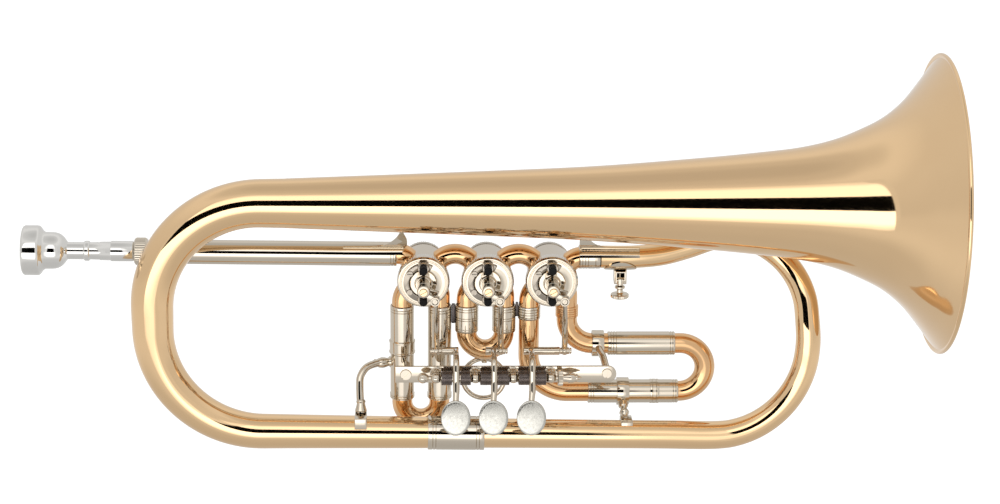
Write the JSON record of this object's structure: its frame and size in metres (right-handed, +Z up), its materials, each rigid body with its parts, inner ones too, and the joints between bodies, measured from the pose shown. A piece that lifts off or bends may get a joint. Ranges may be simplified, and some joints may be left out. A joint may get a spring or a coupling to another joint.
{
  "type": "flugelhorn",
  "caption": "Rotary-valve flugelhorn: conical bell and bows, valve row with levers, link rods and tuning slides, leadpipe with mouthpiece.",
  "frame": {"origin": "on the middle valve's axis, half way along its casing, where the player's hand holds the row of valves", "axes": "+X towards the bell's mouth, -Y towards the levers and valve caps' front, +Z up from the long lower tube to the bell"},
  "size_m": [0.4739, 0.155, 0.2121],
  "materials": {
    "lacquered_brass": "clear lacquer, mirror polish",
    "gold_brass": "clear lacquer, mirror polish, redder alloy",
    "nickel_silver": "polished nickel silver",
    "silver_plate": "silver plate, mirror polish",
    "spring_steel": "dark drawn wire",
    "black_rubber": "matt"
  },
  "bodies": {
    "root": {"bell": "lacquered_brass", "left_bow": "lacquered_brass", "right_bow": "lacquered_brass", "bow_ferrule": "nickel_silver", "knuckle_1": "gold_brass", "knuckle_2": "gold_brass", "inlet_elbow": "gold_brass", "outlet_elbow": "gold_brass", "slide_1_leg_left": "nickel_silver", "slide_1_leg_right": "nickel_silver", "slide_2_leg_left": "nickel_silver", "slide_2_leg_right": "nickel_silver", "slide_3_leg_lower": "nickel_silver", "slide_3_leg_upper": "nickel_silver", "rack_plate": "nickel_silver", "hinge_rod": "nickel_silver", "leadpipe_sleeve": "nickel_silver", "leadpipe_saddle": "nickel_silver", "outlet_saddle": "nickel_silver", "left_brace": "nickel_silver", "right_brace": "nickel_silver", "lyre_socket": "nickel_silver", "valve_casing_1": "nickel_silver", "front_cap_1": "nickel_silver", "rear_cap_1": "nickel_silver", "bumpers_1": "black_rubber", "lever_spring_1": "spring_steel", "valve_casing_2": "nickel_silver", "front_cap_2": "nickel_silver", "rear_cap_2": "nickel_silver", "bumpers_2": "black_rubber", "lever_spring_2": "spring_steel", "valve_casing_3": "nickel_silver", "front_cap_3": "nickel_silver", "rear_cap_3": "nickel_silver", "bumpers_3": "black_rubber", "lever_spring_3": "spring_steel"},
    "mouthpipe": {"mouthpipe": "nickel_silver"},
    "mouthpiece": {"mouthpiece": "silver_plate"},
    "slide_1": {"slide_1_bow": "gold_brass"},
    "slide_2": {"slide_2_bow": "gold_brass"},
    "slide_3": {"slide_3_bow": "gold_brass"},
    "lyre_screw": {"lyre_thumbscrew": "nickel_silver"},
    "lever_1": {"lever_1": "nickel_silver", "finger_plate_1": "silver_plate"},
    "rod_1": {"link_rod_1": "nickel_silver"},
    "rotor_1": {"rotor_1": "nickel_silver", "stop_arm_1": "nickel_silver"},
    "lever_2": {"lever_2": "nickel_silver", "finger_plate_2": "silver_plate"},
    "rod_2": {"link_rod_2": "nickel_silver"},
    "rotor_2": {"rotor_2": "nickel_silver", "stop_arm_2": "nickel_silver"},
    "lever_3": {"lever_3": "nickel_silver", "finger_plate_3": "silver_plate"},
    "rod_3": {"link_rod_3": "nickel_silver"},
    "rotor_3": {"rotor_3": "nickel_silver", "stop_arm_3": "nickel_silver"}
  },
  "joints": [
    {"name": "mouthpipe_slide", "type": "slide", "parent": "root", "child": "mouthpipe", "axis": [-0.9999, 0, 0.0107], "range_m": [0, 0.02]},
    {"name": "mouthpiece_pull", "type": "slide", "parent": "mouthpipe", "child": "mouthpiece", "axis": [-0.9999, 0, 0.0107], "range_m": [0, 0.03]},
    {"name": "slide_1_pull", "type": "slide", "parent": "root", "child": "slide_1", "axis": [0, 0, -1], "range_m": [0, 0.025]},
    {"name": "slide_2_pull", "type": "slide", "parent": "root", "child": "slide_2", "axis": [0, 0, -1], "range_m": [0, 0.008]},
    {"name": "slide_3_pull", "type": "slide", "parent": "root", "child": "slide_3", "axis": [1, 0, 0], "range_m": [0, 0.02]},
    {"name": "lyre_screw_turn", "type": "hinge", "parent": "root", "child": "lyre_screw", "pos_m": [0.0694, -0.002, -0.008], "axis": [0, 0, 1], "continuous": true},
    {"name": "lever_1_press", "type": "hinge", "parent": "root", "child": "lever_1", "pos_m": [-0.0167, -0.031, -0.0478], "axis": [1, 0, 0], "range_deg": [0, 28.31], "stiffness_Nm_per_rad": 0.02, "springref_deg": -34.38},
    {"name": "rod_1_swing", "type": "hinge", "parent": "lever_1", "child": "rod_1", "pos_m": [-0.0266, -0.011, -0.04], "axis": [1, 0, 0], "range_deg": [-38.1, 0]},
    {"name": "rotor_1_turn", "type": "hinge", "parent": "root", "child": "rotor_1", "pos_m": [-0.0336, 0, 0], "axis": [0, -1, 0], "range_deg": [0, 90]},
    {"name": "lever_2_press", "type": "hinge", "parent": "root", "child": "lever_2", "pos_m": [0.0029, -0.031, -0.0478], "axis": [1, 0, 0], "range_deg": [0, 28.31], "stiffness_Nm_per_rad": 0.02, "springref_deg": -34.38},
    {"name": "rod_2_swing", "type": "hinge", "parent": "lever_2", "child": "rod_2", "pos_m": [0.0069, -0.011, -0.04], "axis": [1, 0, 0], "range_deg": [-38.1, 0]},
    {"name": "rotor_2_turn", "type": "hinge", "parent": "root", "child": "rotor_2", "pos_m": [-0.0004, 0, 0], "axis": [0, -1, 0], "range_deg": [0, 90]},
    {"name": "lever_3_press", "type": "hinge", "parent": "root", "child": "lever_3", "pos_m": [0.0226, -0.031, -0.0478], "axis": [1, 0, 0], "range_deg": [0, 28.31], "stiffness_Nm_per_rad": 0.02, "springref_deg": -34.38},
    {"name": "rod_3_swing", "type": "hinge", "parent": "lever_3", "child": "rod_3", "pos_m": [0.0404, -0.011, -0.04], "axis": [1, 0, 0], "range_deg": [-38.1, 0]},
    {"name": "rotor_3_turn", "type": "hinge", "parent": "root", "child": "rotor_3", "pos_m": [0.0328, 0, 0], "axis": [0, -1, 0], "range_deg": [0, 90]}
  ],
  "couplings": [
    {"joint": "rotor_1_turn", "follows": "lever_1_press", "ratio": 3.1795},
    {"joint": "rod_1_swing", "follows": "lever_1_press", "ratio": -1.3423},
    {"joint": "rotor_2_turn", "follows": "lever_2_press", "ratio": 3.1795},
    {"joint": "rod_2_swing", "follows": "lever_2_press", "ratio": -1.3423},
    {"joint": "rotor_3_turn", "follows": "lever_3_press", "ratio": 3.1795},
    {"joint": "rod_3_swing", "follows": "lever_3_press", "ratio": -1.3423}
  ]
}
